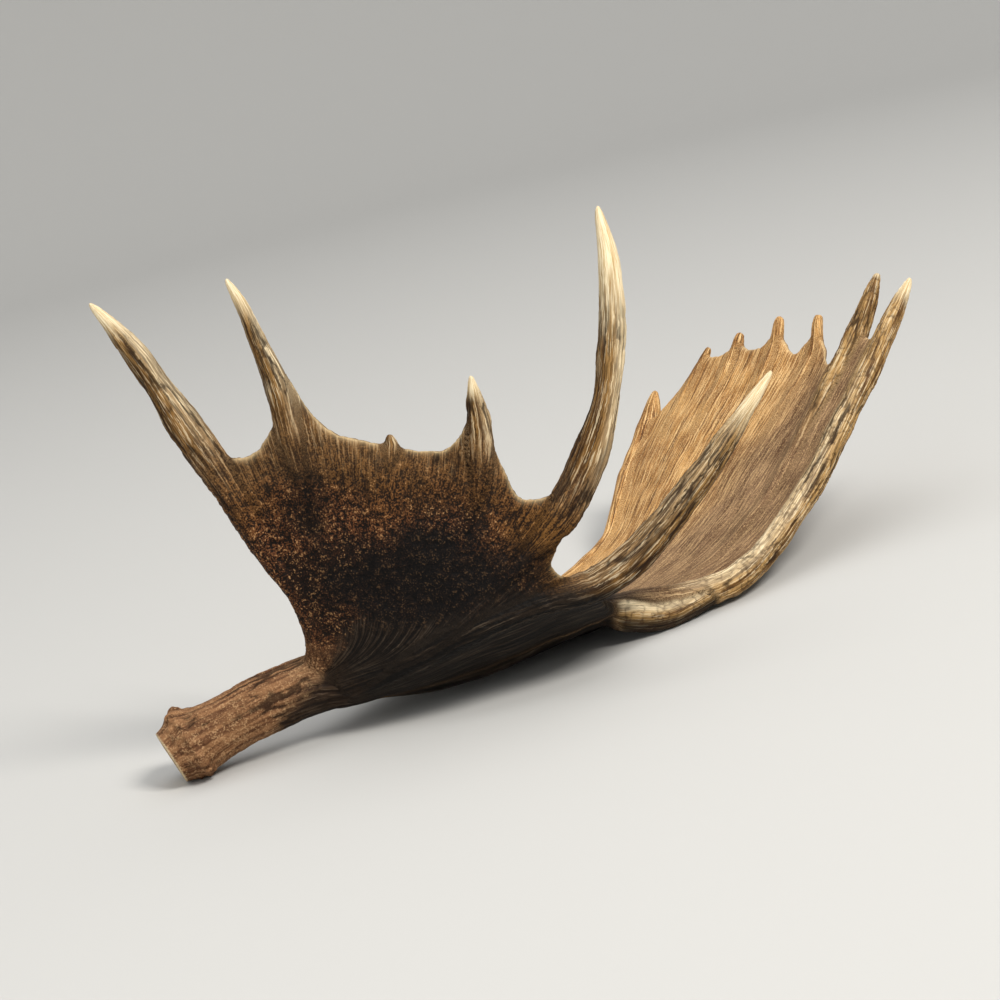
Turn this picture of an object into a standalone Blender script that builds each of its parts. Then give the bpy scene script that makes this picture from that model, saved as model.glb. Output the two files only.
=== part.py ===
"""A moose's left antler, sawn off below its burr and lying on its convex belly.

The antler is one bone. A round shaft, the beam, widens into a trough, the palm base, where two palms
part: the brow palm in front and the larger main palm behind. Ribs run from the beam through the palms and
leave them as tines. Each rib is a list of points, the sheets of the palms are lofted through the ribs, and
the whole bone is cut at its main forks into named pieces.

Points are (x, y, z) in metres: x to the antler's outer side, y to its rear, z up. Widths and heights are
as seen from STATION in front of the antler, so they open out with depth. The finished bone is then turned
to lie at rest on z = 0.
"""

import math

import bmesh
import bpy
import numpy as np
from mathutils import Matrix, Vector

# Driving sizes, in metres
STATION = 2.2  # the viewing station from which widths and heights are taken
SHEET_EDGE = 0.009  # thickness of the palms at their scalloped edges
SHEET_ROOT = 0.030  # thickness of the palms where they leave the beam
BELLY_EDGE = 0.013  # thickness of the belly at its free edge
VOXEL = 0.0034  # grain of the remesh that grows ribs and sheets into one bone
TRIANGLES = 8000  # of the whole bone before it is cut at its forks
GAP = 0.0003  # between one piece and the next
SOLE = 0.0009  # how deep the resting spots are worn flat
BEYOND = 0.02  # how far a cutter runs on past the tip of its tine
TAPER = 0.7  # power by which a rod narrows to its tip: under 1 keeps it full, then rounds it off
SMOOTHINGS = 4  # times that the grown bone is smoothed

# How the bone lies at rest: turned about y, then about x, then lowered on to z = 0
LIE_PITCH = math.radians(-12.87)
LIE_ROLL = math.radians(13.98)

# The beam, from its sawn face to where it widens: points and radii
BEAM = [
    (-0.306, -0.004, -0.222),
    (-0.297, -0.002, -0.216),
    (-0.289, 0.000, -0.210),
    (-0.279, 0.001, -0.204),
    (-0.263, 0.004, -0.195),
    (-0.237, 0.008, -0.181),
    (-0.210, 0.013, -0.168),
    (-0.180, 0.019, -0.156),
    (-0.144, 0.021, -0.153),
    (-0.093, 0.020, -0.143),
]
BEAM_RADII = [0.025, 0.027, 0.0335, 0.0285, 0.0262, 0.0262, 0.0265, 0.0260, 0.0235, 0.0150]

# The ribs of the brow palm, from the innermost. The first seven points lie in the palm, the rest in the tine
BROW_RIBS = {
    "brow_1": [
        (-0.180, 0.010, -0.143),
        (-0.180, -0.005, -0.117),
        (-0.194, -0.015, -0.084),
        (-0.221, -0.025, -0.046),
        (-0.247, -0.035, -0.007),
        (-0.269, -0.045, 0.027),
        (-0.297, -0.060, 0.068),
        (-0.330, -0.075, 0.116),
        (-0.355, -0.085, 0.147),
        (-0.375, -0.092, 0.168),
    ],
    "brow_2": [
        (-0.174, 0.008, -0.147),
        (-0.162, -0.012, -0.117),
        (-0.171, -0.028, -0.075),
        (-0.181, -0.040, -0.030),
        (-0.192, -0.050, 0.015),
        (-0.204, -0.058, 0.057),
        (-0.214, -0.068, 0.096),
        (-0.231, -0.080, 0.135),
        (-0.244, -0.090, 0.165),
        (-0.258, -0.098, 0.189),
    ],
    "brow_nub": [
        (-0.168, 0.006, -0.150),
        (-0.132, -0.020, -0.117),
        (-0.126, -0.036, -0.075),
        (-0.123, -0.048, -0.030),
        (-0.119, -0.055, 0.015),
        (-0.116, -0.060, 0.045),
        (-0.117, -0.062, 0.057),
    ],
    "brow_3": [
        (-0.162, 0.004, -0.153),
        (-0.098, -0.026, -0.120),
        (-0.072, -0.042, -0.075),
        (-0.054, -0.050, -0.033),
        (-0.042, -0.055, 0.007),
        (-0.039, -0.060, 0.039),
        (-0.041, -0.068, 0.066),
        (-0.045, -0.075, 0.088),
        (-0.048, -0.082, 0.106),
    ],
    "brow_4": [
        (-0.156, 0.002, -0.158),
        (-0.072, -0.030, -0.117),
        (-0.030, -0.042, -0.078),
        (0.003, -0.046, -0.045),
        (0.026, -0.048, -0.019),
        (0.039, -0.050, 0.003),
        (0.056, -0.055, 0.042),
        (0.069, -0.062, 0.093),
        (0.073, -0.070, 0.150),
        (0.071, -0.072, 0.203),
        (0.061, -0.070, 0.252),
    ],
    "fork": [
        (-0.153, 0.004, -0.162),
        (-0.060, -0.028, -0.116),
        (-0.012, -0.032, -0.096),
        (0.021, -0.028, -0.084),
        (0.045, -0.020, -0.078),
        (0.063, -0.014, -0.071),
        (0.090, -0.008, -0.052),
        (0.121, -0.002, -0.018),
        (0.154, 0.004, 0.027),
        (0.184, 0.012, 0.071),
        (0.210, 0.020, 0.110),
    ],
}
BROW_RADII = {
    "brow_1": [0.014, 0.012, 0.011, 0.012, 0.0135, 0.0155, 0.0150, 0.0112, 0.0070, 0.0020],
    "brow_2": [0.014, 0.012, 0.007, 0.006, 0.008, 0.012, 0.0115, 0.0088, 0.0062, 0.0020],
    "brow_nub": [0.012, 0.010, 0.006, 0.005, 0.005, 0.006, 0.0035],
    "brow_3": [0.014, 0.012, 0.007, 0.006, 0.008, 0.012, 0.0110, 0.0066, 0.0020],
    "brow_4": [0.016, 0.013, 0.009, 0.011, 0.015, 0.0175, 0.0152, 0.0130, 0.0122, 0.0096, 0.0020],
    "fork": [0.018, 0.014, 0.012, 0.013, 0.014, 0.0135, 0.0128, 0.0120, 0.0108, 0.0072, 0.0020],
}
# How far up the ribs each web reaches, counted in points: beside its first rib, half way, beside its second
BROW_WEBS = [(5.3, 4.85, 5.6), (6.4, 5.1, 5.1), (5.1, 5.0, 6.0), (6.0, 4.1, 5.7), (5.2, 3.3, 4.6)]

# The ribs of the main palm, from its thick outer rim round to its rear edge
MAIN_RIBS = {
    "main_7": [
        (-0.159, 0.016, -0.165),
        (-0.045, 0.048, -0.141),
        (0.063, 0.078, -0.096),
        (0.174, 0.128, -0.071),
        (0.237, 0.185, 0.000),
        (0.288, 0.240, 0.098),
        (0.310, 0.262, 0.147),
        (0.329, 0.278, 0.189),
    ],
    "main_6": [
        (-0.162, 0.022, -0.167),
        (-0.045, 0.080, -0.140),
        (0.068, 0.128, -0.101),
        (0.156, 0.185, -0.057),
        (0.213, 0.230, 0.007),
        (0.260, 0.268, 0.093),
        (0.284, 0.288, 0.143),
        (0.301, 0.302, 0.192),
    ],
    "main_5": [
        (-0.165, 0.028, -0.165),
        (-0.048, 0.108, -0.132),
        (0.056, 0.165, -0.099),
        (0.132, 0.230, -0.051),
        (0.189, 0.285, 0.027),
        (0.243, 0.322, 0.114),
        (0.251, 0.332, 0.156),
    ],
    "main_4": [
        (-0.168, 0.033, -0.162),
        (-0.054, 0.130, -0.128),
        (0.045, 0.195, -0.096),
        (0.108, 0.270, -0.045),
        (0.162, 0.330, 0.033),
        (0.208, 0.362, 0.114),
        (0.217, 0.372, 0.154),
    ],
    "main_3": [
        (-0.171, 0.037, -0.159),
        (-0.061, 0.150, -0.121),
        (0.032, 0.218, -0.091),
        (0.091, 0.302, -0.042),
        (0.134, 0.366, 0.037),
        (0.174, 0.402, 0.110),
        (0.183, 0.410, 0.140),
    ],
    "main_2": [
        (-0.174, 0.040, -0.154),
        (-0.071, 0.162, -0.116),
        (0.019, 0.236, -0.088),
        (0.076, 0.330, -0.041),
        (0.110, 0.398, 0.033),
        (0.144, 0.440, 0.102),
        (0.156, 0.447, 0.129),
    ],
    "main_1": [
        (-0.177, 0.041, -0.150),
        (-0.083, 0.168, -0.108),
        (0.007, 0.250, -0.086),
        (0.066, 0.345, -0.042),
        (0.087, 0.415, 0.018),
        (0.104, 0.460, 0.060),
        (0.110, 0.472, 0.091),
    ],
}
MAIN_RADII = {
    "main_7": [0.018, 0.014, 0.0135, 0.0135, 0.0125, 0.0120, 0.0105, 0.0025],
    "main_6": [0.016, 0.009, 0.006, 0.006, 0.008, 0.010, 0.0095, 0.0025],
    "main_5": [0.014, 0.007, 0.005, 0.005, 0.005, 0.007, 0.0030],
    "main_4": [0.014, 0.007, 0.005, 0.005, 0.005, 0.007, 0.0030],
    "main_3": [0.014, 0.007, 0.005, 0.005, 0.005, 0.007, 0.0030],
    "main_2": [0.014, 0.007, 0.005, 0.005, 0.005, 0.007, 0.0030],
    "main_1": [0.014, 0.009, 0.008, 0.008, 0.008, 0.0075, 0.0035],
}
MAIN_WEBS = [(6.0, 5.9, 6.0), (5.8, 5.3, 5.7), (5.7, 5.2, 5.7), (5.7, 5.35, 5.7), (5.7, 5.4, 5.7), (6.3, 5.35, 5.0)]

# The belly, the sheet under the fork between the fork rib and the outer rim: its middle rib and far edge
BELLY_MIDDLE = [
    (-0.156, 0.010, -0.164),
    (-0.078, 0.012, -0.143),
    (-0.012, 0.016, -0.121),
    (0.033, 0.024, -0.102),
    (0.063, 0.034, -0.091),
    (0.083, 0.044, -0.086),
]
BELLY_REAR = [
    (-0.159, 0.016, -0.165),
    (-0.090, 0.036, -0.151),
    (-0.030, 0.052, -0.135),
    (0.022, 0.066, -0.114),
    (0.063, 0.078, -0.098),
    (0.093, 0.090, -0.095),
]

# The lip, where the thick rim curls round the fork
LIP = [
    (0.057, 0.060, -0.093),
    (0.087, 0.080, -0.099),
    (0.123, 0.098, -0.096),
    (0.168, 0.124, -0.073),
]
LIP_RADII = [0.0100, 0.0145, 0.0148, 0.0110]

# Tines cut off the whole bone: the rib, the place of the cut counted in rib points, the cutter's half width
TINES = {
    "brow_tine_1": ("brow_1", 5.6, 0.050),
    "brow_tine_2": ("brow_2", 5.6, 0.035),
    "brow_tine_3": ("brow_3", 5.5, 0.028),
    "brow_tine_4": ("brow_4", 5.3, 0.045),
    "fork_tine": ("fork", 5.6, 0.032),
    "outer_point_6": ("main_6", 5.95, 0.0165),
    "outer_point_7": ("main_7", 5.95, 0.0200),
}
# Larger pieces, cut off after the tines: where the cut starts, where the cutter ends, and its half sizes
# across and along y
BLOCKS = {
    "beam": ((-0.186, 0.017, -0.157), (-0.336, -0.020, -0.238), 0.042, 0.042),
    "brow_palm": ((-0.050, -0.115, -0.106), (-0.200, -0.115, 0.371), 0.300, 0.145),
    "main_palm": ((0.035, 0.165, 0.000), (0.607, 0.347, 0.000), 0.500, 0.400),
}

# Finishes: colour, roughness
FINISHES = {
    "beam": ((0.24, 0.13, 0.08), 0.62),
    "palm_base": ((0.045, 0.025, 0.016), 0.55),
    "brow_palm": ((0.060, 0.030, 0.016), 0.50),
    "main_palm": ((0.36, 0.21, 0.10), 0.50),
    "tine": ((0.42, 0.29, 0.16), 0.42),
}

ANTLER = bpy.data.collections.new("moose_antler")
HELPERS = bpy.data.collections.new("cutters")


def clear_scene():
    for old in list(bpy.data.objects):
        bpy.data.objects.remove(old, do_unlink=True)
    bpy.context.scene.collection.children.link(ANTLER)
    bpy.context.scene.collection.children.link(HELPERS)


def opened(points):
    """The points with their widths and heights opened out in proportion to their distance from the station."""
    points = np.array(points, float)
    scale = 1 + points[:, 1:2] / STATION
    return points * np.hstack([scale, np.ones_like(scale), scale])


def weights(t, last):
    """Catmull-Rom weights at parameter t over points 0..last: four point numbers and their weights."""
    left = np.clip(np.floor(t), 0, last - 1).astype(int)
    f = t - left
    four = np.stack([left - 1, left, left + 1, left + 2])
    factor = 0.5 * np.stack([
        -f + 2 * f**2 - f**3,
        2 - 5 * f**2 + 3 * f**3,
        f + 4 * f**2 - 3 * f**3,
        -(f**2) + f**3,
    ])
    return four, factor


def along(points, t):
    """The smooth curve through the points, read at t, counted in points. The ends run on straight."""
    padded = np.vstack([2 * points[0] - points[1], points, 2 * points[-1] - points[-2]])
    four, factor = weights(np.asarray(t, float), len(points) - 1)
    return (padded[four + 1] * factor[..., None]).sum(axis=0)


def evaluated_mesh(obj):
    bpy.context.view_layer.update()
    graph = bpy.context.evaluated_depsgraph_get()
    return bpy.data.meshes.new_from_object(obj.evaluated_get(graph))


def welded(mesh):
    """The mesh with its doubles merged and its faces pointing out."""
    bm = bmesh.new()
    bm.from_mesh(mesh)
    bmesh.ops.remove_doubles(bm, verts=bm.verts, dist=1e-6)
    bmesh.ops.recalc_face_normals(bm, faces=bm.faces)
    bm.to_mesh(mesh)
    bm.free()
    return mesh


def replaced_by_mesh(obj):
    """A mesh object in place of this one, with its modifiers or its curve made real."""
    solid = bpy.data.objects.new(obj.name, welded(evaluated_mesh(obj)))
    HELPERS.objects.link(solid)
    solid.matrix_world = obj.matrix_world
    bpy.data.objects.remove(obj)
    return solid


def rib_tube(name, points, radii):
    """A round rod through the points, its radius following the radii."""
    steps = np.linspace(0, len(points) - 1, 3 * (len(points) - 1) + 1)
    path = along(points, steps)
    thick = np.interp(steps, np.arange(len(radii)), radii)
    last = steps > len(radii) - 2
    taper = (len(radii) - 1 - steps[last]) ** TAPER
    thick[last] = radii[-1] + (radii[-2] - radii[-1]) * taper
    curve = bpy.data.curves.new(name, "CURVE")
    curve.dimensions = "3D"
    curve.bevel_depth = 1.0
    curve.bevel_resolution = 3
    curve.use_fill_caps = True
    spline = curve.splines.new("POLY")
    spline.points.add(len(path) - 1)
    for point, place, radius in zip(spline.points, path, thick):
        point.co = (*place, 1.0)
        point.radius = radius
    rod = bpy.data.objects.new(name, curve)
    HELPERS.objects.link(rod)
    return replaced_by_mesh(rod)


def web_reach(s, webs):
    """How far up the ribs the sheet reaches at s, counted in ribs: high beside each rib, low between two."""
    left = np.clip(np.floor(s), 0, len(webs) - 1).astype(int)
    f = s - left
    first, middle, second = np.array(webs)[left].T
    return middle + (np.where(f < 0.5, first, second) - middle) * (2 * f - 1) ** 2


def palm_sheet(name, ribs, reach, root, edge, rows=8, columns=30):
    """A sheet lofted through the ribs as far as reach says, as thick as root at its start and edge at its end."""
    s = np.linspace(0, len(ribs) - 1, rows * (len(ribs) - 1) + 1)
    t = np.linspace(0, 1, columns)[None, :] * reach(s)[:, None]
    on_ribs = np.stack([along(rib, t) for rib in ribs])
    padded = np.concatenate([2 * on_ribs[:1] - on_ribs[1:2], on_ribs, 2 * on_ribs[-1:] - on_ribs[-2:-1]])
    four, factor = weights(s, len(ribs) - 1)
    across = np.arange(len(s))
    grid = sum(padded[four[k] + 1, across] * factor[k][:, None, None] for k in range(4))
    count = len(s)
    index = np.arange(count * columns).reshape(count, columns)
    quads = np.stack([index[:-1, :-1], index[1:, :-1], index[1:, 1:], index[:-1, 1:]], axis=-1)
    mesh = bpy.data.meshes.new(name)
    mesh.from_pydata(grid.reshape(-1, 3).tolist(), [], quads.reshape(-1, 4).tolist())
    sheet = bpy.data.objects.new(name, mesh)
    HELPERS.objects.link(sheet)
    thinning = sheet.vertex_groups.new(name="thickness")
    share = edge / root + (1 - edge / root) * np.clip(1 - t / 3.0, 0, 1) ** 1.5
    for number, weight in enumerate(share.ravel()):
        thinning.add([number], float(weight), "REPLACE")
    solidify = sheet.modifiers.new("thickness", "SOLIDIFY")
    solidify.thickness = root
    solidify.offset = 0
    solidify.vertex_group = thinning.name
    return replaced_by_mesh(sheet)


def whole_bone():
    """Ribs, sheets and beam grown together into one closed body by a voxel remesh, then smoothed and thinned."""
    brow = {name: opened(points) for name, points in BROW_RIBS.items()}
    main = {name: opened(points) for name, points in MAIN_RIBS.items()}
    parts = [rib_tube("beam_rod", opened(BEAM), BEAM_RADII), rib_tube("lip", opened(LIP), LIP_RADII)]
    parts += [rib_tube(name, brow[name], BROW_RADII[name]) for name in brow]
    parts += [rib_tube(name, main[name], MAIN_RADII[name]) for name in main]
    parts.append(palm_sheet(
        "brow_sheet", list(brow.values()), lambda s: web_reach(s, BROW_WEBS),
        SHEET_ROOT, SHEET_EDGE,
    ))
    parts.append(palm_sheet(
        "main_sheet", list(main.values()), lambda s: web_reach(s, MAIN_WEBS),
        SHEET_ROOT, SHEET_EDGE,
    ))
    belly = [brow["fork"][:6], opened(BELLY_MIDDLE), opened(BELLY_REAR)]
    parts.append(palm_sheet(
        "belly_sheet", belly, lambda s: 5.0 - 0.8 * np.sin(math.pi * s / 2),
        SHEET_ROOT, BELLY_EDGE, rows=10,
    ))
    bm = bmesh.new()
    for part in parts:
        bm.from_mesh(part.data)
        bpy.data.objects.remove(part)
    mesh = bpy.data.meshes.new("bone")
    bm.to_mesh(mesh)
    bm.free()
    bone = bpy.data.objects.new("bone", mesh)
    HELPERS.objects.link(bone)
    remesh = bone.modifiers.new("grow together", "REMESH")
    remesh.mode = "VOXEL"
    remesh.voxel_size = VOXEL
    smooth = bone.modifiers.new("soften", "SMOOTH")
    smooth.factor = 0.5
    smooth.iterations = SMOOTHINGS
    fine = len(evaluated_mesh(bone).polygons) * 2
    thin = bone.modifiers.new("thin out", "DECIMATE")
    thin.ratio = TRIANGLES / fine
    return replaced_by_mesh(bone), brow | main


def cutter(name, start, end, half_across, half_deep):
    """A box from start to end, half_deep each way along y and half_across the third way."""
    start, end = Vector(start), Vector(end)
    ahead = (end - start).normalized()
    deep = (Vector((0, 1, 0)) - ahead.y * ahead).normalized()
    across = deep.cross(ahead)
    turn = Matrix((across, deep, ahead)).transposed().to_4x4()
    size = Matrix.Diagonal((2 * half_across, 2 * half_deep, (end - start).length, 1))
    bm = bmesh.new()
    bmesh.ops.create_cube(bm, size=1.0, matrix=Matrix.Translation((start + end) / 2) @ turn @ size)
    mesh = bpy.data.meshes.new(name)
    bm.to_mesh(mesh)
    bm.free()
    box = bpy.data.objects.new(name, mesh)
    box.hide_render = True
    box.display_type = "WIRE"
    HELPERS.objects.link(box)
    return box


def after(solid, operation, box):
    """The solid's mesh once the box has cut it."""
    cut = solid.modifiers.new("cut", "BOOLEAN")
    cut.operation = operation
    cut.object = box
    mesh = welded(evaluated_mesh(solid))
    solid.modifiers.remove(cut)
    return mesh


def laid(bone):
    """The turn and the drop that lay the bone on its belly, its lowest spots a SOLE below z = 0."""
    turn = Matrix.Rotation(LIE_PITCH, 4, "X") @ Matrix.Rotation(LIE_ROLL, 4, "Y")
    points = np.array([turn @ vertex.co for vertex in bone.data.vertices])
    low, high = points.min(axis=0), points.max(axis=0)
    middle = (low + high) / 2
    return Matrix.Translation((-middle[0], -middle[1], -low[2] - SOLE)) @ turn


def finish(name, kind):
    """The piece's own material."""
    colour, roughness = FINISHES[kind]
    material = bpy.data.materials.new(name)
    material.use_nodes = True
    shader = material.node_tree.nodes["Principled BSDF"]
    shader.inputs["Base Color"].default_value = (*colour, 1)
    shader.inputs["Roughness"].default_value = roughness
    material.diffuse_color = (*colour, 1)
    return material


def piece(name, mesh):
    """The finished node, from a mesh already in its place."""
    mesh.name = name
    mesh.materials.clear()
    mesh.materials.append(finish(name, name if name in FINISHES else "tine"))
    mesh.shade_smooth()
    ANTLER.objects.link(bpy.data.objects.new(name, mesh))


def main():
    clear_scene()
    bone, ribs = whole_bone()
    lay = laid(bone)
    bone.data.transform(lay)
    floor = cutter("floor", (0, 0, 0), (0, 0, -0.1), 1.0, 1.0)
    bone.data = after(bone, "DIFFERENCE", floor)
    cuts = {}
    for name, (rib, place, half) in TINES.items():
        start, tip = along(ribs[rib], place), ribs[rib][-1]
        beyond = tip + (tip - start) / np.linalg.norm(tip - start) * BEYOND
        cuts[name] = (start, beyond, half, half)
    cuts |= BLOCKS
    for name, (start, end, across, deep) in cuts.items():
        start, end = Vector(start), Vector(end)
        keep = cutter(name + "_cutter", start, end, across, deep)
        back = (end - start).normalized() * GAP
        clear = cutter(name + "_clearance", start - back, end + back, across + GAP, deep + GAP)
        for box in (keep, clear):
            box.data.transform(lay)
        piece(name, after(bone, "INTERSECT", keep))
        bone.data = after(bone, "DIFFERENCE", clear)
    piece("palm_base", bone.data.copy())
    for helper in list(HELPERS.objects):
        helper.hide_render = True


main()
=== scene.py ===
"""A moose's left antler lying on its belly: the fine surface and the finish of each of its pieces.

The bone is worked out in its own upright frame, x to the antler's outer side, y to its rear, z up, and is
then turned to lie as the frame's nodes lie. Rods run along the ribs and tines, thick sheets are lofted
through the ribs for the palms, and all of them are grown together into one skin. The skin carries, at each
point, where on which rod or sheet it came from, and from that come its grooves, pearls and colours. The
skin is cut at the antler's main forks, and each piece stands for one node of the frame.
"""

import math

import bmesh
import bpy
import numpy as np
from mathutils import Matrix, Vector


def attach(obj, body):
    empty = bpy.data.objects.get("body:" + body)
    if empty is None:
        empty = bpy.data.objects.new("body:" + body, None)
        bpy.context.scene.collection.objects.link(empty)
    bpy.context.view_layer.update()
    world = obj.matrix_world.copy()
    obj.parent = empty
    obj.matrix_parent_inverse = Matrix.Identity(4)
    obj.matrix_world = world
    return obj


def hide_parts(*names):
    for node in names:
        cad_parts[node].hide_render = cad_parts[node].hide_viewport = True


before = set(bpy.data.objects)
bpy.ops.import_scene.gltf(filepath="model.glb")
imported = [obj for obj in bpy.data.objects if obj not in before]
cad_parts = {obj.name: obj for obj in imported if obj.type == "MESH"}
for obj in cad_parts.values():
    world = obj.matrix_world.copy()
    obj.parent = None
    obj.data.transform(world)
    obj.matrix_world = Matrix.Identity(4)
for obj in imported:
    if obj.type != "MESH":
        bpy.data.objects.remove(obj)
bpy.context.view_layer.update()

# Driving sizes, in metres
STATION = 2.2  # the viewing station, in front of the antler, from which widths and heights are taken
SHEET_EDGE = 0.0085  # thickness of the palms at their scalloped edges
SHEET_ROOT = 0.030  # thickness of the palms where they spread from the beam
BELLY_EDGE = 0.013  # thickness of the belly sheet at its free edge
GRAIN = 0.00145  # spacing of the skin's points
SOLE = 0.0009  # how deep the resting spots are worn flat
BROW_INNER = 1  # the side of the brow sheet's normal that faces the station
MAIN_INNER = -1  # the side of the main sheet's normal that faces into the hollow
WEB_WIDTH = 0.065  # mean width of a web between two ribs, which sets the scale of its streaks
BEYOND = 0.02  # how far a tine's cut runs on past its tip
TAPER = 0.7  # the power by which a rod's last stretch thins towards its tip
SMOOTHINGS = 3  # times that the skin is evened out, before and after its creases fill up
FILLINGS = 110  # times that its creases are filled
FORK_RIB = (4.3, 4.8)  # between these rib numbers the brow palm passes into the fork tine

# The stage and the camera
FLOOR = 4.0  # how far the floor is flat
SWEEP = 2.0  # the radius of the curve that takes it up
WALL = 4.0  # the height of its wall
SENSOR = 36.0  # the camera's width, in millimetres
FRAMED = 0.86  # the width that the camera takes in at the antler
ASIDE = 0.023  # how far the view's middle lies to the antler's inner side

# How the bone lies at rest: turned about y, then about x, then lowered on to z = 0
LIE_PITCH = math.radians(-12.87)
LIE_ROLL = math.radians(13.98)

# The beam, from its sawn face to where it widens: points and radii
BEAM = [
    (-0.306, -0.004, -0.222),
    (-0.297, -0.002, -0.216),
    (-0.289, 0.000, -0.210),
    (-0.279, 0.001, -0.204),
    (-0.263, 0.004, -0.195),
    (-0.237, 0.008, -0.181),
    (-0.210, 0.013, -0.168),
    (-0.180, 0.019, -0.156),
    (-0.144, 0.021, -0.153),
    (-0.093, 0.020, -0.143),
]
BEAM_RADII = [0.025, 0.027, 0.0335, 0.0285, 0.0262, 0.0262, 0.0265, 0.0260, 0.0235, 0.0150]

# The ribs of the brow palm, from the innermost. The first seven points lie in the palm, the rest in the tine
BROW_RIBS = {
    "brow_1": [
        (-0.180, 0.010, -0.143),
        (-0.180, -0.005, -0.117),
        (-0.194, -0.015, -0.084),
        (-0.221, -0.025, -0.046),
        (-0.247, -0.035, -0.007),
        (-0.269, -0.045, 0.027),
        (-0.297, -0.060, 0.068),
        (-0.330, -0.075, 0.116),
        (-0.355, -0.085, 0.147),
        (-0.375, -0.092, 0.168),
    ],
    "brow_2": [
        (-0.174, 0.008, -0.147),
        (-0.162, -0.012, -0.117),
        (-0.171, -0.028, -0.075),
        (-0.181, -0.040, -0.030),
        (-0.192, -0.050, 0.015),
        (-0.204, -0.058, 0.057),
        (-0.214, -0.068, 0.096),
        (-0.231, -0.080, 0.135),
        (-0.244, -0.090, 0.165),
        (-0.258, -0.098, 0.189),
    ],
    "brow_nub": [
        (-0.168, 0.006, -0.150),
        (-0.132, -0.020, -0.117),
        (-0.126, -0.036, -0.075),
        (-0.123, -0.048, -0.030),
        (-0.119, -0.055, 0.015),
        (-0.116, -0.060, 0.044),
        (-0.117, -0.062, 0.052),
    ],
    "brow_3": [
        (-0.162, 0.004, -0.153),
        (-0.098, -0.026, -0.120),
        (-0.072, -0.042, -0.075),
        (-0.054, -0.050, -0.033),
        (-0.042, -0.055, 0.007),
        (-0.039, -0.060, 0.039),
        (-0.041, -0.068, 0.066),
        (-0.045, -0.075, 0.088),
        (-0.048, -0.082, 0.106),
    ],
    "brow_4": [
        (-0.156, 0.002, -0.158),
        (-0.072, -0.030, -0.117),
        (-0.030, -0.042, -0.078),
        (0.003, -0.046, -0.045),
        (0.026, -0.048, -0.019),
        (0.039, -0.050, 0.003),
        (0.056, -0.055, 0.042),
        (0.069, -0.062, 0.093),
        (0.073, -0.070, 0.150),
        (0.071, -0.072, 0.203),
        (0.061, -0.070, 0.252),
    ],
    "fork": [
        (-0.153, 0.004, -0.162),
        (-0.060, -0.028, -0.116),
        (-0.012, -0.032, -0.096),
        (0.021, -0.028, -0.084),
        (0.045, -0.020, -0.078),
        (0.063, -0.014, -0.071),
        (0.090, -0.008, -0.052),
        (0.121, -0.002, -0.018),
        (0.154, 0.004, 0.027),
        (0.184, 0.012, 0.071),
        (0.210, 0.020, 0.110),
    ],
}
BROW_RADII = {
    "brow_1": [0.014, 0.012, 0.011, 0.012, 0.0135, 0.0155, 0.0150, 0.0112, 0.0070, 0.0020],
    "brow_2": [0.014, 0.010, 0.005, 0.004, 0.006, 0.0115, 0.0115, 0.0088, 0.0062, 0.0020],
    "brow_nub": [0.012, 0.008, 0.004, 0.003, 0.003, 0.0072, 0.0050],
    "brow_3": [0.014, 0.010, 0.005, 0.004, 0.006, 0.0125, 0.0112, 0.0062, 0.0020],
    "brow_4": [0.016, 0.012, 0.007, 0.009, 0.015, 0.0175, 0.0152, 0.0130, 0.0122, 0.0096, 0.0020],
    "fork": [0.018, 0.014, 0.012, 0.013, 0.0150, 0.0160, 0.0155, 0.0142, 0.0124, 0.0082, 0.0020],
}
# How far up the ribs each web reaches, counted in points: beside its first rib, half way, beside its second
BROW_WEBS = [(5.3, 4.85, 5.6), (7.5, 5.1, 5.2), (5.2, 5.0, 7.0), (6.5, 4.1, 5.9), (5.2, 3.3, 4.6)]

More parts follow.
